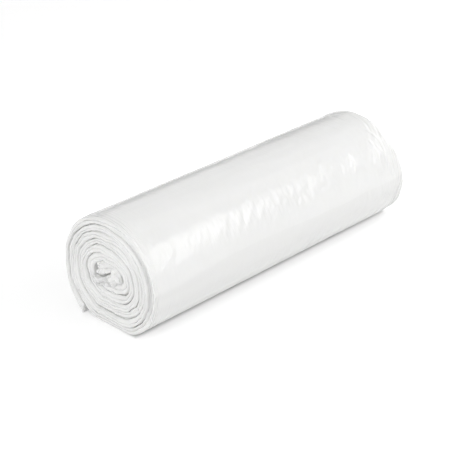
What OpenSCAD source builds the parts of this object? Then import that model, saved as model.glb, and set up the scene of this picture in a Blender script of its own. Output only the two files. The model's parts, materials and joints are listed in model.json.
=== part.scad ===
// Roll of bin bags, wound without a tube and lying on its side.
// The folded bags make one long web. It winds inward from a free end at the back of the
// foot to a folded start in the middle, so the whole roll is one solid.
// The roll lies along X with its near end at -X, Z is up, and the origin is on the ground
// under its middle. Places along the web are counted in turns from the free end.

/* [Roll] */
// Length of the roll along its middle, which is the width of the folded bags
roll_length = 280; // [200:1:360]
// Width of the roll across the ground
roll_width = 92; // [88:1:104]
// Height of the roll as it lies
roll_height = 87; // [84:1:96]
// Depth by which the roll's own weight flattens its foot
foot_press = 4.6; // [2:0.1:5]
// Height over which the flat foot rounds into the sides
foot_round = 1.6; // [0.5:0.1:2]

/* [Winding] */
// Number of turns between the free end and the folded start
turn_count = 6; // [6:1:8]
// Gap between one turn and the next
turn_gap = 0.4; // [0.2:0.05:0.8]
// Width of the room inside the last turn
core_width = 35; // [32:1:38]
// Height of the room inside the last turn
core_height = 20; // [19:1:24]
// Height of the core's middle above the middle of the outer turn
core_rise = 3.5; // [1:0.5:5]

/* [Free end] */
// Angle of the free end below the roll's middle, on the back
tail_angle = 52.5; // [45:0.5:60]
// Distance by which the free end stands off the turn under it
tail_lift = 1; // [0:0.1:2]
// Angle over which the free end comes off that turn
tail_reach = 45; // [20:1:45]
// Distance by which the slack outer turn bulges at the upper back
bulge = 1; // [0:0.1:2.5]
// Angle of the bulge above the roll's middle
bulge_angle = 52; // [40:1:60]
// Angle from the top of the bulge to its edge
bulge_reach = 32; // [15:1:35]

/* [Web edges] */
// Number of folded plies that show side by side in the web's edge
ply_count = 2; // [1:1:3]
// Distance by which the web wanders to each side along the winding
edge_wander = 0.8; // [0:0.1:1.5]
// Distance by which the near end leans out at the back
near_lean = 2.7; // [0:0.1:5]
// Distance by which the far end leans out at the foot
far_lean = 8; // [0:0.5:12]

/* [Folded start] */
// Thickness that the web loses where it first folds back
fold_squeeze = 2.3; // [2:0.1:2.6]
// Length over which the web thins out before it folds back
fold_run = 3.2; // [2:0.1:3.4]
// Radius inside each hairpin of the folded start
crease_radius = 0.4; // [0.3:0.05:0.8]
// Room between the folded start and the turn around it
core_slack = 1.2; // [1:0.1:2]
// Extra thickness of the web at its very start
start_swell = 0.6; // [0:0.1:1.2]
// Angle by which the start drops toward the back
start_droop = 11; // [4:1:12]

/* [Hidden] */

film_white = [0.95, 0.95, 0.94];

// Facets round a turn, round a ply's edge and along each stretch of the folded start
turn_steps = 48;
ply_steps = 3;
hairpin_steps = 8;
run_steps = 5;

// Turns between one wander of the web and the next
wander_period = 2.4;

// Places where the web passes the back, top, front and foot for the first time
at_back = tail_angle / 360;
at_top = at_back + 0.25;
at_front = at_back + 0.5;
at_foot = at_back + 0.75;
// Places half way between the first two and the last two sides that give a size
at_mean_width = (at_back + at_front) / 2;
at_mean_height = (at_top + at_foot) / 2;

// Growth of the oval from turn to turn
rise_pitch = core_rise / turn_count;
width_pitch = (roll_width - core_width) / 2 / turn_count;
height_pitch = (roll_height + foot_press + rise_pitch / 2 - core_height) / 2 / turn_count;
// Share of the pitch that the web fills, the rest being the gap
web_share = 1 - turn_gap / min(width_pitch, height_pitch);

// Last facet of the winding, a few past the foot, where the folded start begins
leave_steps = 4;
last_step = round((turn_count - 1 + at_foot) * turn_steps) + leave_steps;

function polar(s) = 360 * s - tail_angle;
function toward(angle) = [cos(angle), sin(angle)];
function left_of(angle) = [-sin(angle), cos(angle)];
function mix(a, b, share) = a + (b - a) * share;

// Half sizes and middle of the oval at place s
function half_width(s) = roll_width / 2 - width_pitch * (s - at_mean_width);
function half_height(s) = (roll_height + foot_press + rise_pitch / 2) / 2
    - height_pitch * (s - at_mean_height);
function middle(s) = [0, rise_pitch * s];

// Ground under the outer turn, and the height to which each turn's foot is pressed flat
ground = middle(at_foot).y - half_height(at_foot) + foot_press;
core_foot = middle(turn_count + at_foot).y - half_height(turn_count + at_foot);
foot_pitch = (core_foot - ground) / turn_count;
function foot_level(s, depth) = let (turn = round(s - at_foot))
    ground + (turn < 0 ? 0 : foot_pitch * (turn + depth));
// Height z raised to a level, flat below it and rounding into z above it
function pressed(z, level) = let (over = z - level)
    over > foot_round ? z
    : over < -foot_round ? level
    : level + pow(over + foot_round, 2) / (4 * foot_round);

// Distance by which the web stands off the turn under it at place s
function tail_stand(s) = tail_lift * pow(max(0, 1 - 360 * s / tail_reach), 2);
function bulge_stand(s) =
    let (off = min(1, abs(polar(s) - bulge_angle) / bulge_reach)) bulge * pow(cos(90 * off), 2);
function stand_off(s) = tail_stand(s) + bulge_stand(s);

// Point of the winding at place s: depth 0 is the web's outer face and web_share its inner one
function winding_point(s, depth) = let (
    angle = polar(s),
    oval = [half_width(s + depth) * cos(angle), half_height(s + depth) * sin(angle)],
    p = middle(s + depth) + oval + stand_off(s) * toward(angle)
) [p.x, pressed(p.y, foot_level(s, depth))];

// Stations of the web: each is its outer point, its inner point and its place
winding = [for (i = [0:last_step]) let (s = i / turn_steps)
    [winding_point(s, 0), winding_point(s, web_share), s]];

// Room inside the last turn, taken as an oval
at_last = turn_count - 1 + web_share;
room_width = half_width(at_front + at_last);
room_top = middle(at_top + at_last).y + half_height(at_top + at_last);
room_foot = foot_level(at_foot + turn_count - 1, web_share);
room_height = (room_top - room_foot) / 2;
room_middle = (room_top + room_foot) / 2;
// Distance from a point in the room to its side along a heading
function room_reach(from, heading) = let (
    p = [from.x / room_width, (from.y - room_middle) / room_height],
    d = [cos(heading) / room_width, sin(heading) / room_height]
) (sqrt(pow(p * d, 2) - d * d * (p * p - 1)) - p * d) / (d * d);

// Web where it leaves the winding
leaving = winding[last_step];
leaving_side = leaving[0] - leaving[1];
leaving_heading = atan2(leaving_side.y, leaving_side.x) + 90;
leaving_from = (leaving[0] + leaving[1]) / 2;
leaving_to = leaving_from + fold_run * toward(leaving_heading);
web = norm(leaving_side);

// First hairpin, which turns the web back into the room
fold_thickness = web - fold_squeeze;
back_radius = fold_thickness / 2 + crease_radius;
back_centre = leaving_to + back_radius * left_of(leaving_heading);

// Second hairpin, the largest round that fits the front of the room
front_round = room_height - core_slack;
lobe = front_round - crease_radius;
front_radius = lobe / 2 + crease_radius;
// That room's half sizes, less a little clearance
fit_width = room_width - core_slack / 2;
fit_height = room_height - core_slack / 2;
front_centre = [
    -sqrt((pow(fit_width, 2) - pow(fit_height, 2)) * (1 - pow(front_round / fit_height, 2))),
    room_middle
];

// Heading of the run that touches both hairpins
between = front_centre - back_centre;
between_heading = atan2(between.y, between.x) + asin((back_radius + front_radius) / norm(between));

// Last run, from the second hairpin to the very start of the web
start_thickness = lobe + start_swell;
start_from = front_centre + front_radius * left_of(-start_droop);
start_top = start_from + start_thickness / 2 * left_of(-start_droop);
start_length = room_reach(start_top, -start_droop) - core_slack;
start_to = start_from + start_length * toward(-start_droop);

// Station of the folded start around a centre point
function fold_station(centre, heading, thickness, s) =
    [centre - left_of(heading) * thickness / 2, centre + left_of(heading) * thickness / 2, s];

// Stations round a hairpin: a positive radius turns left and a negative one right
function hairpin(centre, radius, from, to, thickness, s) = [for (i = [1:hairpin_steps])
    let (heading = mix(from, to, i / hairpin_steps))
    fold_station(centre - radius * left_of(heading), heading, thickness, s)];

// Stations along a straight run, swelling from one thickness to another
function run(from, to, heading, thin, thick, s) = [for (i = [1:run_steps])
    let (share = i / run_steps)
    fold_station(mix(from, to, share), heading, mix(thin, thick, share * share), s)];

folded_start = let (
    s = leaving[2],
    turned = back_centre - back_radius * left_of(between_heading),
    touched = front_centre + front_radius * left_of(between_heading)
) concat(
    run(leaving_from, leaving_to, leaving_heading, web, fold_thickness, s),
    hairpin(back_centre, back_radius, leaving_heading, between_heading, fold_thickness, s),
    run(turned, touched, between_heading, fold_thickness, lobe, s),
    hairpin(front_centre, -front_radius, between_heading, -start_droop, lobe, s),
    run(start_from, start_to, -start_droop, lobe, start_thickness, s)
);

stations = concat(winding, folded_start);

// Rounded edge of the web: each point is its share of the thickness and its set-back
ply_edge = [for (ply = [0:ply_count - 1], i = [ply == 0 ? 0 : 1:ply_steps])
    let (angle = 180 * i / ply_steps)
    [(ply + (1 - cos(angle)) / 2) / ply_count, (1 - sin(angle)) / 2 / ply_count]];
edge_points = len(ply_edge);

// Ends of the roll above a point of the section
function near_end(p) = -roll_length / 2 - near_lean * p.x / (roll_width / 2);
function far_end(p) = roll_length / 2 - far_lean * p.y / (roll_height / 2);
function wander(s) = edge_wander * sin(360 * s / wander_period);

// One station's points, down the near edge and back up the far edge
function ring(station) = let (thickness = norm(station[0] - station[1])) concat(
    [for (e = ply_edge) let (p = mix(station[0], station[1], e[0]))
        [near_end(p) + wander(station[2]) + e[1] * thickness, p.x, p.y]],
    [for (i = [edge_points - 1:-1:0]) let (e = ply_edge[i], p = mix(station[0], station[1], e[0]))
        [far_end(p) + wander(station[2]) - e[1] * thickness, p.x, p.y]]
);
ring_points = 2 * edge_points;

web_points = [for (station = stations) each ring(station)];
web_low = [for (axis = [0:2]) min([for (p = web_points) p[axis]])];
web_high = [for (axis = [0:2]) max([for (p = web_points) p[axis]])];

// Two triangles on each four-sided patch
function patch(a, b, c, d) = [[a, b, c], [a, c, d]];

// Patches between neighbouring stations
web_sides = [for (i = [0:len(stations) - 2], k = [0:ring_points - 1])
    let (here = i * ring_points, there = here + ring_points, next = (k + 1) % ring_points)
    each patch(here + k, here + next, there + next, there + k)];

// Patches across the web at one of its two ends
function end_patches(first, turned) = [for (k = [0:edge_points - 2])
    let (far = ring_points - 1)
    each turned
        ? patch(first + k, first + k + 1, first + far - k - 1, first + far - k)
        : patch(first + k, first + far - k, first + far - k - 1, first + k + 1)];

module bag_roll() {
    color(film_white)
        translate([-(web_low.x + web_high.x) / 2, -(web_low.y + web_high.y) / 2, -web_low.z])
            polyhedron(
                points = web_points,
                faces = concat(
                    end_patches(0, false),
                    web_sides,
                    end_patches((len(stations) - 1) * ring_points, true)
                )
            );
}

bag_roll();
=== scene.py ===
"""Looks of the roll of bin bags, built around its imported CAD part.

The web of folded bags is wound here by the same rule as in the part's source, with finer
stations, soft plies in its edges and creases in its film.
"""

import json
import math

import bpy
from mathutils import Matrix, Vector


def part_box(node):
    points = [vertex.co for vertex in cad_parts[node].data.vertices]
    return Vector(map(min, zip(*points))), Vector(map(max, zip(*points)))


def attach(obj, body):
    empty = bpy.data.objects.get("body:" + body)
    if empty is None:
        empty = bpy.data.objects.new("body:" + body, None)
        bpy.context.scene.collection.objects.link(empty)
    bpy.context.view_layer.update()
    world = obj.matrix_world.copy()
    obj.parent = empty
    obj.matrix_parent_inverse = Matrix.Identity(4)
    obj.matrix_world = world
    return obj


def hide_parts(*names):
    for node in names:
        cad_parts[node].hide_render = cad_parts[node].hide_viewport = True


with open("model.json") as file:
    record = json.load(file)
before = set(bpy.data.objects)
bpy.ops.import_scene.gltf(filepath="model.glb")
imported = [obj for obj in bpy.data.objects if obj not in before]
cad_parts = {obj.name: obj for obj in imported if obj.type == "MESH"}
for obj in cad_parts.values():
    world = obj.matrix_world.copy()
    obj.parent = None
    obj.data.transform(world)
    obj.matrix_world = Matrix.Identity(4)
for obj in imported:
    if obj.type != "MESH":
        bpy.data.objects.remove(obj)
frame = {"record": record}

bl_info = {
    "name": "Bin bag roll",
    "version": (1, 0, 0),
    "blender": (4, 5, 0),
    "location": "View3D > Sidebar > Bag roll",
    "description": "Winds a roll of bin bags around its packed CAD part and lights it",
    "category": "Add Mesh",
}

MM = 0.001
CAD_LOW, CAD_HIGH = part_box("bag_roll")
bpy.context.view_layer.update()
CAD_SIZE = CAD_HIGH - CAD_LOW
FILM_COLOUR = frame["record"]["materials"][0]["base_color"]

FULL_TURN = 2 * math.pi
TINY = 1e-6


class Wire:
    """One output of a node, on which arithmetic adds Math nodes to its tree."""

    def __init__(self, graph, socket):
        self.graph = graph
        self.socket = socket

    def __add__(self, other):
        return maths("ADD", self, other)

    def __radd__(self, other):
        return maths("ADD", other, self)

    def __sub__(self, other):
        return maths("SUBTRACT", self, other)

    def __rsub__(self, other):
        return maths("SUBTRACT", other, self)

    def __mul__(self, other):
        return maths("MULTIPLY", self, other)

    def __rmul__(self, other):
        return maths("MULTIPLY", other, self)

    def __truediv__(self, other):
        return maths("DIVIDE", self, other)

    def __rtruediv__(self, other):
        return maths("DIVIDE", other, self)

    def __pow__(self, other):
        return maths("POWER", self, other)

    def __neg__(self):
        return maths("MULTIPLY", self, -1.0)

    def other(self, output):
        """Another output of the same node."""
        return Wire(self.graph, self.socket.node.outputs[output])


class Graph:
    """A node tree that grows from expressions."""

    def __init__(self, tree):
        self.tree = tree

    def node(self, kind, settings=None, inputs=None, output=0):
        """Adds a node: its settings first, then the values or wires of its sockets."""
        made = self.tree.nodes.new(kind)
        for name, value in (settings or {}).items():
            setattr(made, name, value)
        for place, value in (inputs or {}).items():
            if isinstance(value, Wire):
                self.tree.links.new(value.socket, made.inputs[place])
            else:
                made.inputs[place].default_value = value
        return Wire(self, made.outputs[output]) if made.outputs else made

    def vector(self, x=0.0, y=0.0, z=0.0):
        return self.node("ShaderNodeCombineXYZ", inputs={0: x, 1: y, 2: z})

    def parts(self, vector):
        split = self.node("ShaderNodeSeparateXYZ", inputs={0: vector})
        return split, split.other(1), split.other(2)

    def noise(self, vector, scale=1.0, detail=2.0, roughness=0.5, output="Fac"):
        """Noise from 0 to 1, about 0.5."""
        return self.node(
            "ShaderNodeTexNoise",
            {"noise_dimensions": "3D"},
            {"Vector": vector, "Scale": scale, "Detail": detail, "Roughness": roughness},
            output,
        )

    def noise_at(self, x, y, z, detail=1.0, roughness=0.5, output="Fac"):
        """Noise at the point (x, y, z)."""
        return self.noise(self.vector(x, y, z), 1.0, detail, roughness, output)


PLAIN = {
    "ABSOLUTE": abs,
    "MAXIMUM": max,
    "MINIMUM": min,
    "SINE": math.sin,
    "COSINE": math.cos,
    "ROUND": round,
    "FLOOR": math.floor,
    "SQRT": math.sqrt,
}


def maths(operation, *values):
    """The result of a Math node, or a plain number where no value is a wire."""
    wires = [v for v in values if isinstance(v, Wire)]
    if not wires:
        return PLAIN[operation](*values)
    return wires[0].graph.node(
        "ShaderNodeMath", {"operation": operation}, dict(enumerate(values))
    )


def clamped(value, low=0.0, high=1.0):
    return maths("MAXIMUM", maths("MINIMUM", value, high), low)


def eased(value):
    """A value from 0 to 1 with a soft start and end."""
    held = clamped(value)
    return held * held * (3.0 - 2.0 * held)


def hill(value, centre, reach):
    """1 at the centre, falling softly to 0 at the reach."""
    return eased(1.0 - maths("ABSOLUTE", value - centre) / reach)


def mixed(a, b, share):
    """A value that goes from a to b as the share goes from 0 to 1."""
    return a + (b - a) * share


class Winding:
    """The rule of the winding. Its sizes are numbers in Python and wires in a node tree.

    Places along the web are counted in turns from the free end.
    """

    NAMES = (
        "roll_length roll_width roll_height foot_press foot_round turn_count turn_gap "
        "core_width core_height core_rise tail_angle tail_lift tail_reach bulge bulge_angle "
        "bulge_reach edge_wander near_lean far_lean"
    ).split()

    def __init__(self, sizes):
        for name in self.NAMES:
            setattr(self, name, sizes[name])
        self.at_back = self.tail_angle / FULL_TURN
        self.at_top = self.at_back + 0.25
        self.at_front = self.at_back + 0.5
        self.at_foot = self.at_back + 0.75
        self.rise_pitch = self.core_rise / self.turn_count
        self.width_pitch = (self.roll_width - self.core_width) / self.turn_count / 2
        self.tall = self.roll_height + self.foot_press + self.rise_pitch / 2
        self.height_pitch = (self.tall - self.core_height) / self.turn_count / 2
        pitch = maths("MINIMUM", self.width_pitch, self.height_pitch)
        self.web_share = 1.0 - self.turn_gap / pitch
        foot_middle = self.rise_pitch * self.at_foot
        self.ground = foot_middle - self.half_height(self.at_foot) + self.foot_press
        core_place = self.at_foot + self.turn_count
        core_foot = self.rise_pitch * core_place - self.half_height(core_place)
        self.foot_pitch = (core_foot - self.ground) / self.turn_count

    def half_width(self, s):
        return self.roll_width / 2 - self.width_pitch * (s - (self.at_back + self.at_front) / 2)

    def half_height(self, s):
        return self.tall / 2 - self.height_pitch * (s - (self.at_top + self.at_foot) / 2)

    def polar(self, s):
        return s * FULL_TURN - self.tail_angle

    def foot_level(self, s, depth):
        """Height to which the foot of the turn at place s is pressed flat."""
        turn = maths("ROUND", s - self.at_foot)
        wound = clamped(turn + 1.0)
        return self.ground + self.foot_pitch * (maths("MAXIMUM", turn, 0.0) + depth * wound)

    def pressed(self, z, level):
        """Height z raised to a level, flat below it and rounding into z above it."""
        over = z - level
        near = clamped(over, -self.foot_round, self.foot_round) + self.foot_round
        beyond = maths("MAXIMUM", over - self.foot_round, 0.0)
        return level + near * near / (self.foot_round * 4) + beyond

    def stand_off(self, s):
        """Distance by which the web stands off the turn under it."""
        tail = maths("MAXIMUM", 1.0 - s * FULL_TURN / self.tail_reach, 0.0)
        off = maths("ABSOLUTE", self.polar(s) - self.bulge_angle) / self.bulge_reach
        slack = maths("COSINE", maths("MINIMUM", off, 1.0) * (math.pi / 2))
        return self.tail_lift * tail * tail + self.bulge * slack * slack

    def point(self, s, depth):
        """Point (y, z) of the winding: depth 0 is the web's outer face."""
        angle = self.polar(s)
        across, up = maths("COSINE", angle), maths("SINE", angle)
        stand = self.stand_off(s)
        y = self.half_width(s + depth) * across + stand * across
        z = self.half_height(s + depth) * up + stand * up + self.rise_pitch * (s + depth)
        return y, self.pressed(z, self.foot_level(s, depth))

    def middle_y(self):
        """Middle of the roll across the ground: the spiral reaches further at the back."""
        return self.width_pitch / 4

    def near_end(self, y):
        return -self.roll_length / 2 - self.near_lean * y / (self.roll_width / 2)

    def far_end(self, z):
        return self.roll_length / 2 - self.far_lean * z / (self.roll_height / 2)

    def wander(self, s, period):
        return self.edge_wander * maths("SINE", s * (FULL_TURN / period))


# Angle of the free end below the roll's middle
TAIL_DEGREES = 52.5

# Places along the web: the seam between the two meshes, the end of the painted shade below the
# fold over the next bag's seal, and where the folded start leaves the winding, just past the foot
# of a turn
SEAM_PLACE = 1.055
PAINTED_SHADE_END = 1.05
LEAVE_PLACE = 5 + TAIL_DEGREES / 360 + 0.75 + 4 / 48

# Turns of web in the free end's rounded nose, and in one wander of the web to both sides
NOSE_LENGTH = 0.012
WANDER_PERIOD = 2.4

# Sizes by which the film's patterns are laid out: the web in one turn, and half the roll
TURN_MM = 280.0
TURN_LENGTH = TURN_MM * MM
HALF_LENGTH_MM = 140.0

# Middle of the roll's box, along the roll from the middle of its web
BOX_MIDDLE = 2.517 * MM

# Angle between two faces past which the edge between them is shaded sharp
SHARP_ANGLE = math.radians(70)


def distance(name, description, mm):
    """A size of the roll, written in millimetres."""
    return bpy.props.FloatProperty(
        name=name, description=description, default=mm * MM, unit="LENGTH", precision=4
    )


def angle(name, description, degrees):
    return bpy.props.FloatProperty(
        name=name, description=description, default=math.radians(degrees), subtype="ANGLE"
    )


class RollSizes(bpy.types.PropertyGroup):
    """Sizes of the winding, as in the part's source."""

    roll_length: distance("Roll length", "Length of the roll along its middle", 280)
    roll_width: distance("Roll width", "Width of the roll across the ground", CAD_SIZE.y / MM)
    roll_height: distance("Roll height", "Height of the roll as it lies", CAD_SIZE.z / MM)
    foot_press: distance("Foot press", "Depth by which the foot is flattened", 4.6)
    foot_round: distance("Foot round", "Height over which the foot rounds into the sides", 1.6)
    turn_count: bpy.props.FloatProperty(
        name="Turns", description="Turns between the free end and the folded start", default=6
    )
    turn_gap: distance("Turn gap", "Gap between one turn and the next", 0.4)
    core_width: distance("Core width", "Width of the room inside the last turn", 35)
    core_height: distance("Core height", "Height of the room inside the last turn", 20)
    core_rise: distance("Core rise", "Height of the core's middle above the outer turn's", 3.5)
    tail_angle: angle("Tail angle", "Angle of the free end below the roll's middle", TAIL_DEGREES)
    tail_lift: distance("Tail lift", "Distance by which the free end stands off", 1)
    tail_reach: angle("Tail reach", "Angle over which the free end comes off", 45)
    bulge: distance("Bulge", "Distance by which the slack outer turn bulges", 1)
    bulge_angle: angle("Bulge angle", "Angle of the bulge above the roll's middle", 52)
    bulge_reach: angle("Bulge reach", "Angle from the top of the bulge to its edge", 32)
    edge_wander: distance("Edge wander", "Distance by which the web wanders to each side", 0.8)
    near_lean: distance("Near lean", "Distance by which the near end leans out", 2.7)
    far_lean: distance("Far lean", "Distance by which the far end leans out", 8)

    def rule(self):
        return Winding({name: getattr(self, name) for name in Winding.NAMES})


class FilmSizes(bpy.types.PropertyGroup):
    """Plies, creases and finish of the film."""

    ply_slip: distance("Ply slip", "Distance by which one ply stands out past the next", 0.9)
    section_warp: distance("Section warp", "Distance by which the turns lie out of true", 1.3)
    crease_depth: distance("Crease depth", "Depth of the creases round the middle", 0.22)
    near_crease: distance("Near crease depth", "Depth of the creases beside the near end", 0.3)
    far_crease: distance("Far crease depth", "Depth of the creases beside the far end", 0.5)
    rim_line: distance("Rim line depth", "Depth of the fine lines along both rims", 0.55)
    far_streak: distance("Far streak height", "Height of the long streaks at the far end", 0.44)
    fold_depth: distance("Fold depth", "Depth of the long soft folds along the roll", 0.35)
    pucker_depth: distance("Pucker depth", "Depth of the small puckers between creases", 0.95)
    front_fold: distance("Front fold", "Height of the soft fold along the lower front", 0.9)
    film_colour: bpy.props.FloatVectorProperty(
        name="Film colour", description="Colour of the film", subtype="COLOR",
        default=tuple(FILM_COLOUR), min=0, max=1,
    )
    gloss_roughness: bpy.props.FloatProperty(
        name="Gloss roughness", description="Roughness of the smooth film", default=0.11
    )


def named_lengths(group):
    """Names of a group's sizes that the web's tree takes."""
    of_finish = ("film_colour", "gloss_roughness")
    return [name for name in group.__annotations__ if name not in of_finish]


class StageSizes(bpy.types.PropertyGroup):
    """Camera, lamps and floor."""

    lens: bpy.props.FloatProperty(
        name="Lens", description="Focal length of the camera", default=103.2, unit="CAMERA"
    )
    camera_distance: distance("Camera distance", "From the camera to its target", 1017.2)
    camera_azimuth: angle("Camera azimuth", "Heading of the camera round the roll", -45.17)
    camera_elevation: angle("Camera elevation", "Height of the camera", 27.57)
    fill_level: bpy.props.FloatProperty(
        name="Fill level", description="Strength of the light from all round", default=0.672
    )
    softbox_level: bpy.props.FloatProperty(
        name="Softbox level", description="Brightness of the softbox", default=4.1
    )
    side_level: bpy.props.FloatProperty(
        name="Side panel level", description="Brightness of the panel beside the near end",
        default=2.15,
    )


def empty_material(name):
    """A material and the graph of its nodes, with none in it yet."""
    material = bpy.data.materials.new(name)
    material.use_nodes = True
    material.node_tree.nodes.clear()
    return material, Graph(material.node_tree)


# Share of the film's colour kept at its dull cloudy places, and in its painted shade below the
# front fold
DULL_AND_SHADED_SHARE = 0.957

# Heights of the film's bumps
STREAK_BUMP = 0.16 * MM
FINE_BUMP = 0.05 * MM
GRAIN_BUMP = 0.003 * MM
RIM_BUMP = 0.9 * MM


def film_material(sizes):
    """Glossy white film with faint creases, a little light under its skin and painted shade below
    its front fold.
    """
    material, graph = empty_material("white_film")
    along = graph.node("ShaderNodeTexCoord", output="Object")
    web = graph.node("ShaderNodeUVMap", {"uv_map": "web"})
    arc, run, _ = graph.parts(web)

    # Cloudy film, darkened as painted shade below the fold over the next bag's seal, on the outer
    # turn
    clouds = graph.noise(along, 22.0, 3.0, 0.55)
    degrees = arc / TURN_LENGTH * 360.0 - TAIL_DEGREES
    softness = 1.6 + 3.5 * eased((-40.0 - run / MM) / 60.0)
    # Painted shade: the colour turns duller past the front fold's crest, over a softness in
    # degrees
    painted_shade_below_fold = eased((degrees - crest_angle(graph, run / MM)) / softness + 0.5)
    painted_shade_below_fold = painted_shade_below_fold * clamped((PAINTED_SHADE_END * TURN_LENGTH - arc) / (2 * MM))
    streaks = graph.noise_at(run * 420.0, arc * 45.0, 0.0, 3.0, 0.6)
    colour = graph.node(
        "ShaderNodeMix",
        {"data_type": "RGBA"},
        {
            0: (0.55 + 0.45 * eased((clouds - 0.35) * 2.2)) * (1.0 - painted_shade_below_fold),
            6: tuple(c * DULL_AND_SHADED_SHARE for c in sizes.film_colour) + (1,),
            7: tuple(sizes.film_colour) + (1,),
        },
        output=2,
    )
    rough = sizes.gloss_roughness + 0.05 * eased((clouds - 0.45) * 3.0) + 0.04 * (streaks - 0.5)

    # Bumps: streaks round the roll, grain, and fine lines that gather toward both rims
    fine = graph.noise_at(run * 900.0, arc * 120.0, 3.0, 2.0)
    grain = graph.noise(along, 1400.0, 2.0, 0.5)
    at_rims = eased((maths("ABSOLUTE", run) - 126 * MM) / (8 * MM))
    at_rims = at_rims + 0.3 * eased((-106 * MM - run) / (16 * MM))
    lines = graph.noise_at(run * 620.0, arc * 14.0, 7.0)
    height = (streaks - 0.5) * STREAK_BUMP + (fine - 0.5) * FINE_BUMP
    height = height + (grain - 0.5) * GRAIN_BUMP + (lines - 0.5) * RIM_BUMP * at_rims
    bump = graph.node(
        "ShaderNodeBump", None, {"Strength": 1.0, "Distance": 1.0, "Height": height}, "Normal"
    )
    film = graph.node(
        "ShaderNodeBsdfPrincipled",
        {"subsurface_method": "RANDOM_WALK"},
        {
            "Base Color": colour,
            "Roughness": rough,
            "Normal": bump,
            "IOR": 1.5,
            "Subsurface Weight": 0.5,
            "Subsurface Radius": (1.0, 1.0, 0.95),
            "Subsurface Scale": 0.003,
        },
    )
    graph.node("ShaderNodeOutputMaterial", None, {"Surface": film})
    return material


TREE_SIZES = (
    "from_place to_place stations nose_stations fold_stations face_cells back_cells face_grade "
    "plies ply_cells ply_slip section_warp crease_depth near_crease far_crease rim_line "
    "far_streak fold_depth pucker_depth front_fold shift_x shift_y shift_z"
).split()


def tree_inputs(tree, graph):
    """The tree's named inputs: a wire for each size, and one for the folded start's guide."""
    named = Winding.NAMES + TREE_SIZES
    for name in named:
        tree.interface.new_socket(
            name.replace("_", " ").capitalize(), in_out="INPUT", socket_type="NodeSocketFloat"
        )
    tree.interface.new_socket("Folded start", in_out="INPUT", socket_type="NodeSocketObject")
    entry = graph.node("NodeGroupInput")
    return {name: entry.other(i) for i, name in enumerate(named)}, entry.other(len(named))


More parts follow.
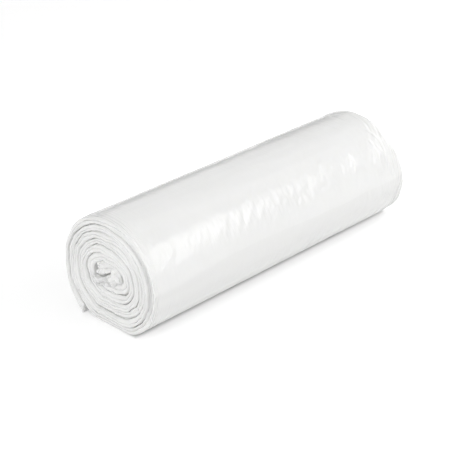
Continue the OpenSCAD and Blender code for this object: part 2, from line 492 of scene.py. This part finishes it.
def web_tree(material):
    """Geometry nodes that wind the web: rings of points round its section, place by place."""
    tree = bpy.data.node_groups.new("Bag web", "GeometryNodeTree")
    tree.is_modifier = True
    graph = Graph(tree)
    tree.interface.new_socket("Geometry", in_out="OUTPUT", socket_type="NodeSocketGeometry")
    sizes, guide = tree_inputs(tree, graph)
    rule = Winding(sizes)

    # Cells round the web's section: outer face, far edge, inner face, near edge
    face, back = sizes["face_cells"], sizes["back_cells"]
    plies, edge = sizes["plies"], sizes["plies"] * sizes["ply_cells"]
    past_far, past_back = face + edge, face + edge + back
    ring_points = past_back + edge
    rings = sizes["stations"]
    blank = graph.node(
        "GeometryNodeMeshCylinder",
        {"fill_type": "NGON"},
        {"Vertices": ring_points, "Side Segments": rings - 1.0},
        "Mesh",
    )
    index = graph.node("GeometryNodeInputIndex")
    ring = maths("FLOOR", (index + 0.5) / ring_points)
    k = index - ring * ring_points

    along = clamped(k / face) - clamped((k - past_far) / back)
    across = clamped((k - face) / edge) - clamped((k - past_back) / edge)
    graded = along - sizes["face_grade"] * maths("SINE", along * FULL_TURN) / FULL_TURN

    # Plies in the edges
    scaled = across * plies
    ply = maths("MINIMUM", maths("FLOOR", scaled + TINY), plies - 1.0)
    local = clamped(scaled - ply) * math.pi
    even_share = (ply + (1.0 - maths("COSINE", local)) / 2) / plies
    puff = maths("MAXIMUM", maths("SINE", local), 0.0)

    # Places along the web, closer together round the free end's nose
    nose = sizes["nose_stations"]
    wound = rings - sizes["fold_stations"]
    in_nose = clamped(ring / nose)
    nose_place = NOSE_LENGTH * in_nose
    step = (sizes["to_place"] - sizes["from_place"] - NOSE_LENGTH) / (wound - 1.0 - nose)
    has_nose = clamped(nose - 1.0)
    started = maths("MAXIMUM", ring - nose, 0.0)
    held = maths("MINIMUM", started, wound - 1.0 - nose)
    place = sizes["from_place"] + nose_place * has_nose + held * step

    # The inner plies end a little before the free end does
    from_tip = maths("MAXIMUM", place, 0.0) / NOSE_LENGTH
    closing = graph.node(
        "ShaderNodeMix",
        {"data_type": "FLOAT"},
        {0: clamped(1.0 - has_nose + clamped(ring - nose)), 2: tip_share(from_tip), 3: 1.0},
    )

    # Share of the pitch that the web fills: less at the back, more in the last turn
    wavy = graph.noise_at(place * 9.0, 0.3, along * 0.6) - 0.5
    last_turn = eased((place - 5.0) / 0.16)
    pocket = 0.2 * hill(rule.polar(place), -0.1, 1.2)
    filled = maths("MINIMUM", rule.web_share + 0.06 + wavy * 0.07, 0.99)
    share = (filled + 0.55 * last_turn - pocket
             + 0.93 * rule.stand_off(place) / rule.width_pitch) * closing
    uneven = graph.noise_at(place * 4.3, 0.7, along * 0.9) - 0.5
    depth_share = even_share + maths("SINE", even_share * math.pi) * uneven * 0.5
    depth = share * depth_share
    y, z = rule.point(place, depth)
    outer_y, outer_z = rule.point(place, 0.0)
    inner_y, inner_z = rule.point(place, share)

    # Folded start: its stations come from the guide
    folded = maths("MAXIMUM", ring - wound, 0.0)
    on_fold = clamped(ring - wound + 1.0)
    fold_outer, fold_inner = folded_points(graph, guide, folded)
    fold_outer_y, fold_outer_z = fold_outer
    fold_inner_y, fold_inner_z = fold_inner
    y = mixed(y, mixed(fold_outer_y, fold_inner_y, depth_share), on_fold)
    z = mixed(z, mixed(fold_outer_z, fold_inner_z, depth_share), on_fold)
    span_y = mixed(inner_y - outer_y, fold_inner_y - fold_outer_y, on_fold)
    span_z = mixed(inner_z - outer_z, fold_inner_z - fold_outer_z, on_fold)
    thickness = maths("SQRT", span_y * span_y + span_z * span_z)

    # The start's end is folded double: a notch in its last stations
    to_end = clamped((folded - sizes["fold_stations"] + 9.0) / 8.0) * on_fold
    notch = hill(depth_share, 0.56, 0.3) * to_end
    y = y - notch * 2.6 * MM

    # Turns out of true, but not where they rest on the foot
    off_foot = clamped((z - rule.ground) / (9 * MM))
    end_sign = along * 2.0 - 1.0
    inside = eased((place + depth_share - 0.7) / 0.7) * off_foot * (1.0 - on_fold)
    y, z, sideways = out_of_true(graph, sizes["section_warp"], y, z, end_sign, off_foot, inside)

    # Edges of the web: puffed plies that slip past each other
    to_edge = maths("ABSOLUTE", even_share * 2.0 - 1.0)
    smooth_band = hill(rule.polar(place), 2.7, 1.5) * (1.0 - on_fold)
    come_and_go = graph.noise_at(place * 3.1, y * 60.0, end_sign * 1.3)
    outermost = clamped(1.0 - even_share * 4.0) * eased((SEAM_PLACE - place) / 0.1)
    deep = mixed(0.3 + 0.8 * eased((come_and_go - 0.3) * 2.5), 0.5, outermost)
    puffed = (1.0 - puff) ** 0.8 * (0.34 + 0.26 * to_edge) * deep * (1.0 - 0.7 * smooth_band)
    puffed = (puffed / plies + to_edge ** 3.0 * 0.1) * thickness
    down = 1.0 - clamped((even_share - 0.1) / 0.6)
    wall = (1.0 - down * down) * (1.0 - eased((even_share - 0.7) / 0.3))
    puffed = puffed + smooth_band * wall * 3.0 * MM
    slip = graph.noise_at(place * 7.0, ply * 5.3 + 11.0, end_sign * 3.0, 2.0, 0.55)
    rumple = graph.noise_at(y * 260.0, z * 260.0, end_sign * 2.3, 2.0, 0.6)
    crumple = graph.noise_at(y * 125.0, z * 125.0, end_sign * 1.7, 1.4)
    proud = (slip - 0.42) * 4.0 * sizes["ply_slip"] * puff + (rumple - 0.5) * 1.1 * MM * puff
    proud = proud + (crumple - 0.5) * 15.0 * MM * on_fold
    side_lift = (sideways - 0.5) * 2.6 * MM
    wander = rule.wander(place, WANDER_PERIOD)
    near_x = rule.near_end(y) + wander + puffed - proud + side_lift
    far_x = rule.far_end(z) + wander - puffed + proud + side_lift
    x = mixed(near_x, far_x, graded)

    # Creases of the outer face
    radius_y, radius_z = maths("COSINE", rule.polar(place)), maths("SINE", rule.polar(place))
    lift = Creases(graph, rule, sizes, place, x).lift()
    outer_face = clamped(1.0 - depth_share * 2.5)
    exposed = eased((SEAM_PLACE - 0.01 - place) / 0.05) * off_foot
    lift = lift * outer_face * exposed
    y = y + lift * radius_y
    z = z + lift * radius_z

    moved = graph.vector(x + sizes["shift_x"], y + sizes["shift_y"], z + sizes["shift_z"])
    shaped = graph.node("GeometryNodeSetPosition", None, {"Geometry": blank, "Position": moved})
    arc = place * TURN_LENGTH + on_fold * folded * MM
    on_points = graph.node(
        "GeometryNodeFieldOnDomain",
        {"data_type": "FLOAT_VECTOR", "domain": "POINT"},
        {"Value": graph.vector(arc, x, 0.0)},
    )
    mapped = graph.node(
        "GeometryNodeStoreNamedAttribute",
        {"data_type": "FLOAT2", "domain": "CORNER"},
        {"Geometry": shaped, "Name": "web", "Value": on_points},
    )
    smooth = graph.node("GeometryNodeSetShadeSmooth", None, {"Geometry": mapped})
    whole = graph.node("GeometryNodeRealizeInstances", None, {"Geometry": smooth})
    coated = graph.node("GeometryNodeSetMaterial", None, {"Geometry": whole, "Material": material})
    graph.node("NodeGroupOutput", None, {"Geometry": coated})
    return tree


def folded_points(graph, guide, folded):
    """The folded start at a station: (y, z) of its outer side and (y, z) of its inner side."""
    mesh = graph.node("GeometryNodeObjectInfo", None, {"Object": guide}, "Geometry")
    points = []
    for side in (0.0, 1.0):
        point = graph.node(
            "GeometryNodeSampleIndex",
            {"data_type": "FLOAT_VECTOR", "domain": "POINT", "clamp": True},
            {"Geometry": mesh, "Value": graph.node("GeometryNodeInputPosition"),
             "Index": folded * 2.0 + side},
        )
        points.append(graph.parts(point)[1:])
    return points


def out_of_true(graph, section_warp, y, z, end_sign, off_foot, inside):
    """Moves a point of the section, so that neighbouring turns lie out of true together.

    The third result, from 0 to 1, moves the web's edges sideways as smoothly.
    """
    warp = graph.noise_at(y * 48.0, z * 48.0, end_sign * 0.35, 1.5, output="Color")
    warp_y, warp_z, sideways = graph.parts(warp)
    core_share = 1.0 - clamped(maths("SQRT", y * y + z * z) / (46 * MM))
    looseness = section_warp * (0.7 + 1.6 * core_share) * off_foot
    y = y + (warp_y - 0.5) * looseness * 2.0
    z = z + (warp_z - 0.5) * looseness * 2.0
    ripple = graph.noise_at(y * 120.0, z * 120.0, end_sign * 0.6, output="Color")
    ripple_y, ripple_z, _ = graph.parts(ripple)
    y = y + (ripple_y - 0.5) * section_warp * 2.2 * inside
    z = z + (ripple_z - 0.5) * section_warp * 2.2 * inside
    return y, z, sideways


def tip_share(from_tip):
    """Share of the web's thickness near the free end, where its plies end one by one."""
    first = clamped(from_tip * 5.0)
    second = clamped((from_tip - 0.35) * 5.0)
    third = clamped((from_tip - 0.7) * 4.0)
    rounded = [maths("SQRT", clamped(1.0 - (1.0 - v) * (1.0 - v))) for v in (first, second, third)]
    return 0.04 + 0.96 * (rounded[0] + rounded[1] + rounded[2]) / 3.0


def crest_angle(graph, x_mm):
    """Angle in degrees at which the next bag's seal runs along the lower front, past which the
    film's colour carries painted shade.
    """
    drift = graph.noise_at(x_mm * 0.03, 2.4, 1.7) - 0.5
    crest = 171.5 + 5.5 * eased((-45.0 - x_mm) / 90.0) + 3.5 * eased((x_mm + 5.0) / 45.0)
    return crest + 4.0 * drift


# Long creases beside the far end: place along the roll and bow in mm, middle angle and reach
# in degrees
FAR_STREAKS = (
    (116.5, 7.5, 138.0, 27.0), (113.0, 2.5, 147.0, 23.0), (117.5, 4.0, 150.0, 17.0),
    (128.5, 2.0, 147.0, 26.0), (125.0, 1.0, 163.0, 9.0), (84.0, 3.0, 142.0, 11.0),
)


class Creases:
    """Creases of the outer film. Each method gives the distance by which one kind lifts it.

    Places along and around the roll are in millimetres, and angles in degrees.
    """

    def __init__(self, graph, rule, sizes, place, x):
        self.graph = graph
        self.sizes = sizes
        self.along = x / MM
        self.around = place * TURN_MM
        self.degrees = rule.polar(place) * (180 / math.pi)
        self.from_near = maths("MAXIMUM", self.along + HALF_LENGTH_MM, 0.0)
        self.from_far = maths("MAXIMUM", HALF_LENGTH_MM - self.along, 0.0)
        drift = graph.noise_at(self.along * 0.02, self.around * 0.025, 5.3) - 0.5
        self.slant = self.along + drift * 26.0 + self.around * 0.16
        self.steep_slant = self.along + self.around * 0.45 + drift * 18.0

    def ridges(self, width, length, seed, detail=2.0):
        """Long narrow ridges round the roll, from 0 to 1 and sharp at their crests."""
        n = self.graph.noise_at(self.slant / width, self.around / length, seed, detail)
        return 1.0 - clamped(maths("ABSOLUTE", n - 0.5) * 6.0)

    def over_front(self):
        """Creases round the middle of the roll, in patches, deepest over its front."""
        patches = self.graph.noise_at(self.along * 0.03, self.around * 0.045, 9.4)
        patches = eased((patches - 0.42) * 5.0)
        across_front = 0.45 + 0.55 * hill(self.degrees, 146.0, 32.0)
        to_far = 0.4 + 0.6 * eased((self.along + 45.0) / 70.0)
        middle = self.ridges(3.8, 16.0, 1.3) * (0.3 + 0.7 * patches)
        middle = middle + 0.7 * self.ridges(7.5, 34.0, 2.6)
        return (middle - 0.6) * self.sizes["crease_depth"] * to_far * across_front

    def puckers(self):
        """Small and broad puckers between the creases."""
        noise_at = self.graph.noise_at
        small = noise_at(self.steep_slant / 4.2, self.around / 11.0, 6.5)
        broad = noise_at(self.steep_slant / 8.5, self.around / 12.0, 2.5)
        livelier = noise_at(self.steep_slant / 21.0, self.around / 19.0, 8.2)
        livelier = 0.4 + 1.1 * eased((livelier - 0.34) * 3.2)
        small = (small - 0.5) * (0.6 + 0.5 * eased((self.along + 75.0) / 65.0)) * livelier
        broad = (broad - 0.5) * (1.1 + 0.8 * eased((self.along + 40.0) / 50.0))
        broad = broad * (1.6 - 0.7 * livelier)
        over_front = 0.2 + 0.8 * hill(self.degrees, 145.0, 26.0)
        fade = 1.0 - 0.3 * hill(self.along, 74.0, 18.0)
        fade = fade + 0.35 * eased((self.along - 92.0) / 20.0) + 0.3 * hill(self.along, 47.0, 16.0)
        fade = fade * (1.0 - 0.8 * eased((self.along - 121.0) / 10.0))
        return (small + broad) * self.sizes["pucker_depth"] * over_front * fade

    def high_puckers(self):
        """Puckers over the upper front, where its highlight ends."""
        plume = self.graph.noise_at(self.steep_slant / 6.0, self.around / 8.0, 4.4) - 0.5
        return plume * self.sizes["pucker_depth"] * hill(self.degrees, 131.0, 13.0)

    def near_ridges(self):
        """Creases beside the near end."""
        near_side = eased(1.0 - self.from_near / 24.0)
        return (self.ridges(4.6, 40.0, 3.7, 1.5) - 0.4) * self.sizes["near_crease"] * near_side

    def far_ridges(self):
        """Creases beside the far end, longer than those of the near one."""
        far_side = eased(1.0 - self.from_far / 44.0)
        return (self.ridges(6.0, 70.0, 4.2, 1.0) - 0.4) * self.sizes["far_crease"] * far_side

    def rim_lines(self, from_end, seed):
        """Fine lines round the roll beside one of its ends."""
        leaning = (self.along + self.around * 0.05) / 2.8
        lines = self.graph.noise_at(leaning, self.around / 50.0, seed)
        return (lines - 0.5) * eased(1.0 - from_end / 15.0) * self.sizes["rim_line"]

    def far_streak(self, start, bow, middle_angle, reach):
        """One of the long creases that catch the light beside the far end."""
        share = (self.degrees - middle_angle) / reach
        line = self.along - start - bow * (1.0 - share * share)
        length = eased(3.0 - 3.0 * maths("ABSOLUTE", share))
        return hill(line, 0.0, 2.1) * length * self.sizes["far_streak"]

    def long_folds(self):
        """Long soft folds along the roll, slanting a little over the top."""
        leaning = (self.around - self.along * 0.2) * 0.05
        folds = self.graph.noise_at(self.along * 0.011, leaning, 7.6, 1.5)
        return (folds - 0.5) * 2.0 * self.sizes["fold_depth"]

    def front_fold(self):
        """The soft fold over the next bag's seal, along the lower front."""
        past_crest = self.degrees - crest_angle(self.graph, self.along)
        past = clamped(past_crest / 20.0)
        fall = 1.0 - (1.0 - past) * (1.0 - past)
        to_near = eased((-60.0 - self.along) / 60.0)
        rise = eased((past_crest + 15.0) / 15.0) * 0.8
        rise = rise + eased((past_crest + 26.0) / 26.0) * to_near
        return rise * (1.0 - fall) * self.sizes["front_fold"]

    def lift(self):
        """Distance by which all the creases together lift the film outward."""
        lift = self.over_front() + self.puckers() + self.high_puckers()
        lift = lift + self.near_ridges() + self.far_ridges()
        lift = lift + self.rim_lines(self.from_near, 2.2) + self.rim_lines(self.from_far, 8.8)
        for streak in FAR_STREAKS:
            lift = lift + self.far_streak(*streak)
        lift = lift + self.long_folds() + self.front_fold()

        # Rims draw in where the film turns over the ends
        pull_far = eased(1.0 - self.from_far / 10.0) * 1.1 * MM
        pull_near = eased(1.0 - self.from_near / 4.0) * 0.3 * MM
        return lift - pull_far - pull_near


# Folds of the web's start: a point (y, height) of its outer side and one of its inner, in mm
FOLD_PAIRS = (
    (12.6, 29.8, 8.6, 33.0), (15.6, 31.8, 9.7, 33.3), (17.1, 34.2, 10.1, 33.7),
    (16.4, 36.4, 9.9, 34.1), (14.0, 37.5, 9.0, 34.3), (11.3, 37.7, 7.6, 34.1),
    (8.6, 37.7, 5.7, 33.6), (5.9, 38.9, 2.8, 33.4), (3.0, 40.5, -0.6, 33.5),
    (0.9, 41.9, -3.6, 34.2), (-0.9, 43.1, -7.5, 34.6), (-2.9, 44.4, -10.6, 35.6),
    (-4.5, 45.3, -13.4, 37.3), (-5.3, 45.8, -14.9, 39.4), (-5.3, 46.0, -14.7, 42.3),
    (-5.0, 46.2, -13.3, 46.2), (-4.5, 46.2, -11.0, 49.4), (-3.6, 45.8, -7.2, 51.3),
    (-2.2, 45.0, -2.6, 52.2), (-0.6, 44.1, 0.9, 52.4), (1.2, 42.9, 4.0, 51.8),
    (3.0, 41.7, 6.9, 51.3), (5.4, 40.4, 9.7, 50.2), (7.8, 39.9, 12.0, 48.9),
    (9.8, 40.3, 13.6, 47.3), (11.9, 41.4, 14.0, 45.6),
)


def fold_guide(rule):
    """A scratch mesh with the stations of the folded start, outer and inner points by turns."""
    leave = [Vector((0, *rule.point(LEAVE_PLACE, depth))) for depth in (0.0, rule.web_share)]
    outer, inner = [leave[0]], [leave[1]]
    for pair in FOLD_PAIRS:
        for side, (y, height) in ((outer, pair[:2]), (inner, pair[2:])):
            side.append(Vector((0, y * MM + rule.middle_y(), height * MM + rule.ground)))
    stations = []
    steps = 5
    last = len(outer) - 1
    for i in range(last):
        for j in range(steps + (i == last - 1)):
            for side in (outer, inner):
                around = (side[max(i - 1, 0)], side[i], side[i + 1], side[min(i + 2, last)])
                stations.append(curve_point(*around, j / steps))
    mesh = bpy.data.meshes.new("fold_guide")
    mesh.from_pydata(stations, [], [])
    guide = bpy.data.objects.new("fold_guide", mesh)
    bpy.context.scene.collection.objects.link(guide)
    return guide, len(stations) // 2


def curve_point(before, a, b, after, t):
    """Point on a smooth curve through a and b."""
    return (
        2 * a + (b - before) * t + (2 * before - 5 * a + 4 * b - after) * t * t
        + (3 * a - before - 3 * b + after) * t ** 3
    ) / 2


def wind_web(name, tree, values, guide):
    """A piece of the web as a plain mesh that rides on the root and has its finish."""
    mesh = bpy.data.meshes.new(name)
    draft = bpy.data.objects.new(name + "_draft", mesh)
    bpy.context.scene.collection.objects.link(draft)
    modifier = draft.modifiers.new("web", "NODES")
    modifier.node_group = tree
    for item in tree.interface.items_tree:
        if item.in_out == "INPUT":
            key = item.name.lower().replace(" ", "_")
            modifier[item.identifier] = guide if key == "folded_start" else float(values[key])
    bpy.context.view_layer.update()
    view = bpy.context.evaluated_depsgraph_get()
    made = bpy.data.meshes.new_from_object(draft.evaluated_get(view), depsgraph=view)
    made.name = name
    bpy.data.objects.remove(draft)
    piece = bpy.data.objects.new(name, made)
    bpy.context.scene.collection.objects.link(piece)
    made.set_sharp_from_angle(angle=SHARP_ANGLE)
    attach(piece, "root")
    return piece


class ROLL_OT_wind(bpy.types.Operator):
    """Wind the outer turn, the inner turns and the folded start of the bag roll"""

    bl_idname = "bag_roll.wind"
    bl_label = "Wind the roll"

    def execute(self, context):
        scene = context.scene
        sizes, film = scene.roll_sizes, scene.film_sizes
        rule = sizes.rule()
        tree = web_tree(film_material(film))
        guide, fold_stations = fold_guide(rule)
        shared = {name: getattr(sizes, name) for name in Winding.NAMES}
        for name in named_lengths(FilmSizes):
            shared[name] = getattr(film, name)
        shared.update(
            plies=2, ply_cells=8,
            shift_x=(CAD_LOW.x + CAD_HIGH.x) / 2 - BOX_MIDDLE,
            shift_y=-rule.middle_y(), shift_z=-rule.ground,
        )
        outer = wind_web("outer_turn", tree, {
            **shared, "from_place": 0, "to_place": SEAM_PLACE, "stations": 274,
            "nose_stations": 14, "fold_stations": 0, "face_cells": 300, "back_cells": 8,
            "face_grade": 0.35,
        }, guide)
        inner = wind_web("inner_turns", tree, {
            **shared, "from_place": SEAM_PLACE, "to_place": LEAVE_PLACE,
            "stations": 620 + fold_stations, "nose_stations": 0, "fold_stations": fold_stations,
            "face_cells": 12, "back_cells": 12, "face_grade": 0.9,
        }, guide)
        bpy.data.objects.remove(guide)
        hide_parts("bag_roll")
        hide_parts("bag_roll")
        return {"FINISHED"}


# Half sizes of the patch under the roll on which the floor's glow is cut, a painted shadow that
# deepens the roll's real one
REST_HALF_LENGTH = 137 * MM
REST_HALF_WIDTH = 22 * MM

FLOOR_SIZE = 12
FLOOR_LEVEL = -0.3 * MM

# The photo's frame: its width and the shift of its middle in pixels, and the point looked at
PHOTO_WIDTH = 452
PHOTO_SHIFT = (-18.92, -11.39)
CAMERA_TARGET = Vector((-2.5, 0, 40.2)) * MM


def panel(name, centre, facing, width, height, material):
    """A flat rectangle of the stage."""
    turn = Vector(facing).to_track_quat("Z", "Y").to_matrix()
    mesh = bpy.data.meshes.new(name)
    points = [
        Vector(centre) + turn @ Vector((a * width / 2, b * height / 2, 0))
        for a, b in ((-1, -1), (1, -1), (1, 1), (-1, 1))
    ]
    mesh.from_pydata(points, [], [(0, 1, 2, 3)])
    mesh.uv_layers.new(name="face")
    for loop, uv in zip(mesh.uv_layers["face"].data, [(0, 0), (1, 0), (1, 1), (0, 1)]):
        loop.uv = uv
    mesh.materials.append(material)
    made = bpy.data.objects.new(name, mesh)
    bpy.context.scene.collection.objects.link(made)
    return made


def shows_studio(graph):
    """1 on the rays that show the white studio: from the camera, off gloss or through film."""
    path = graph.node("ShaderNodeLightPath")
    return clamped(path.other("Is Camera Ray") + path.other("Is Glossy Ray")
                   + path.other("Is Transmission Ray"))


def light_world(scene, fill_level):
    """Light from all round, weaker from above and behind."""
    world = bpy.data.worlds.new("studio")
    scene.world = world
    world.use_nodes = True
    world.node_tree.nodes.clear()
    graph = Graph(world.node_tree)
    seen = shows_studio(graph)
    _, rear, up = graph.parts(graph.node("ShaderNodeTexCoord", output="Generated"))
    fill = fill_level * (1.09 - 0.33 * maths("MAXIMUM", up, 0.0) - 0.14 * rear)
    level = fill + (1.0 - fill) * seen
    sky = graph.node("ShaderNodeBackground", None, {"Color": (1, 1, 1, 1), "Strength": level})
    graph.node("ShaderNodeOutputWorld", None, {"Surface": sky})


def floor_material():
    """White floor whose glow is cut where the roll rests: a painted shadow that deepens the roll's
    real one.
    """
    material, graph = empty_material("white_floor")
    seen = shows_studio(graph)
    x, y, _ = graph.parts(graph.node("ShaderNodeTexCoord", output="Object"))
    past_ends = maths("MAXIMUM", maths("ABSOLUTE", x) - REST_HALF_LENGTH, 0.0) / (5 * MM)
    past_sides = maths("MAXIMUM", maths("ABSOLUTE", y) - REST_HALF_WIDTH, 0.0)
    # Painted shadow: the glow comes back over 5 mm past the ends and 6 mm past the sides, its last
    # share over 20 mm
    clear = eased(maths("MAXIMUM", past_ends, past_sides / (6 * MM)))
    clear = clear * (0.7 + 0.3 * eased(maths("MAXIMUM", past_ends, past_sides / (20 * MM))))
    shade = 0.8 - 0.1 * seen
    paint = graph.node("ShaderNodeCombineColor", None, {0: shade, 1: shade, 2: shade})
    diffuse = graph.node("ShaderNodeBsdfDiffuse", None, {"Color": paint})
    glow = graph.node("ShaderNodeEmission", None, {"Strength": seen * clear * 0.475})
    both = graph.node("ShaderNodeAddShader", None, {0: diffuse, 1: glow})
    graph.node("ShaderNodeOutputMaterial", None, {"Surface": both})
    return material


def lit_cloth(name, level, shape=None):
    """Cloth of a lamp. A shape of its u and v dims parts of it."""
    material, graph = empty_material(name)
    if shape:
        u, v, _ = graph.parts(graph.node("ShaderNodeUVMap", {"uv_map": "face"}))
        level = shape(u, v) * level
    glow = graph.node("ShaderNodeEmission", None, {"Strength": level})
    graph.node("ShaderNodeOutputMaterial", None, {"Surface": glow})
    return material


def softbox_shape(u, v):
    """Sharp and stepped along its lower side, soft along the upper one."""
    low = 0.252 - 0.140 * eased((u - 0.18) / 0.16) - 0.112 * eased((u - 0.33) / 0.06)
    edge = eased((v - low) * 20.0) * eased((1.0 - v) * 1.6) * eased((u - 0.06) * 8.0)
    return edge * (1.0 - 0.5 * eased((u - 0.5) * 6.0))


def crease_panel_shape(u, v):
    """Soft along all four sides."""
    return eased(u * 5.0) * eased((1.0 - u) * 5.0) * eased(v * 5.0) * eased((1.0 - v) * 3.0)


def matt_cloth(name, shade):
    """Cloth that takes light away where it is dark and gives some back where it is pale."""
    material, graph = empty_material(name)
    cloth = graph.node("ShaderNodeBsdfDiffuse", None, {"Color": (shade, shade, shade, 1)})
    graph.node("ShaderNodeOutputMaterial", None, {"Surface": cloth})
    return material


def set_camera(scene, sizes):
    """Camera at the photo's viewing angle."""
    heading, height = sizes.camera_azimuth, sizes.camera_elevation
    back = Vector((
        math.sin(heading) * math.cos(height), -math.cos(heading) * math.cos(height),
        math.sin(height),
    ))
    lens = bpy.data.cameras.new("camera")
    lens.lens = sizes.lens
    lens.sensor_width = 36
    lens.shift_x, lens.shift_y = (shift / PHOTO_WIDTH for shift in PHOTO_SHIFT)
    lens.clip_start, lens.clip_end = 0.05, 50
    camera = bpy.data.objects.new("camera", lens)
    scene.collection.objects.link(camera)
    camera.location = CAMERA_TARGET + back * sizes.camera_distance
    camera.rotation_euler = (-back).to_track_quat("-Z", "Y").to_euler()
    scene.camera = camera


class ROLL_OT_stage(bpy.types.Operator):
    """Set the floor, the lights and the camera"""

    bl_idname = "bag_roll.stage"
    bl_label = "Set the stage"

    def execute(self, context):
        scene = context.scene
        sizes = scene.stage_sizes
        scene.view_settings.view_transform = "Standard"
        light_world(scene, sizes.fill_level)
        panel("floor", (0, 0, FLOOR_LEVEL), (0, 0, 1), FLOOR_SIZE, FLOOR_SIZE, floor_material())

        # Gear that the camera doesn't see: name, middle, facing, width, height and material
        gear = (
            ("softbox", (0.590, -1.040, 0.940), (-0.40, 0.80, -0.60), 1.12, 1.50,
             lit_cloth("softbox_cloth", sizes.softbox_level, softbox_shape)),
            ("crease_panel", (1.09, -0.07, 0.44), (-0.91, 0.13, -0.36), 0.86, 0.56,
             lit_cloth("crease_panel_cloth", sizes.softbox_level, crease_panel_shape)),
            ("side_panel", (-1.35, -0.12, 0.75), (0.87, 0.08, -0.45), 1.3, 1.1,
             lit_cloth("side_panel_cloth", sizes.side_level)),
            ("flag", (1.15, 1.25, 0.03), (-0.7, -0.7, 0), 1.5, 0.7,
             matt_cloth("flag_cloth", 0.4)),
            ("grey_card", (1.59, 1.03, 0.5), (-0.84, -0.54, 0), 0.81, 1.02,
             matt_cloth("grey_card", 0.8)),
        )
        for piece in gear:
            panel(*piece).visible_camera = False
        set_camera(scene, sizes)
        return {"FINISHED"}


class ROLL_PT_panel(bpy.types.Panel):
    """Pieces of the bag roll"""

    bl_label = "Bag roll"
    bl_idname = "ROLL_PT_panel"
    bl_space_type = "VIEW_3D"
    bl_region_type = "UI"
    bl_category = "Bag roll"

    def draw(self, context):
        column = self.layout.column()
        column.operator(ROLL_OT_wind.bl_idname)
        column.operator(ROLL_OT_stage.bl_idname)
        for group in (getattr(context.scene, name) for name in GROUPS):
            for name in group.__annotations__:
                column.prop(group, name)


GROUPS = {"roll_sizes": RollSizes, "film_sizes": FilmSizes, "stage_sizes": StageSizes}
CLASSES = (*GROUPS.values(), ROLL_OT_wind, ROLL_OT_stage, ROLL_PT_panel)


def register():
    for made in CLASSES:
        bpy.utils.register_class(made)
    for name, group in GROUPS.items():
        setattr(bpy.types.Scene, name, bpy.props.PointerProperty(type=group))


def unregister():
    for name in GROUPS:
        delattr(bpy.types.Scene, name)
    for made in reversed(CLASSES):
        bpy.utils.unregister_class(made)


def main():
    register()
    bpy.ops.bag_roll.stage()
    bpy.ops.bag_roll.wind()


if __name__ == "__main__":
    main()
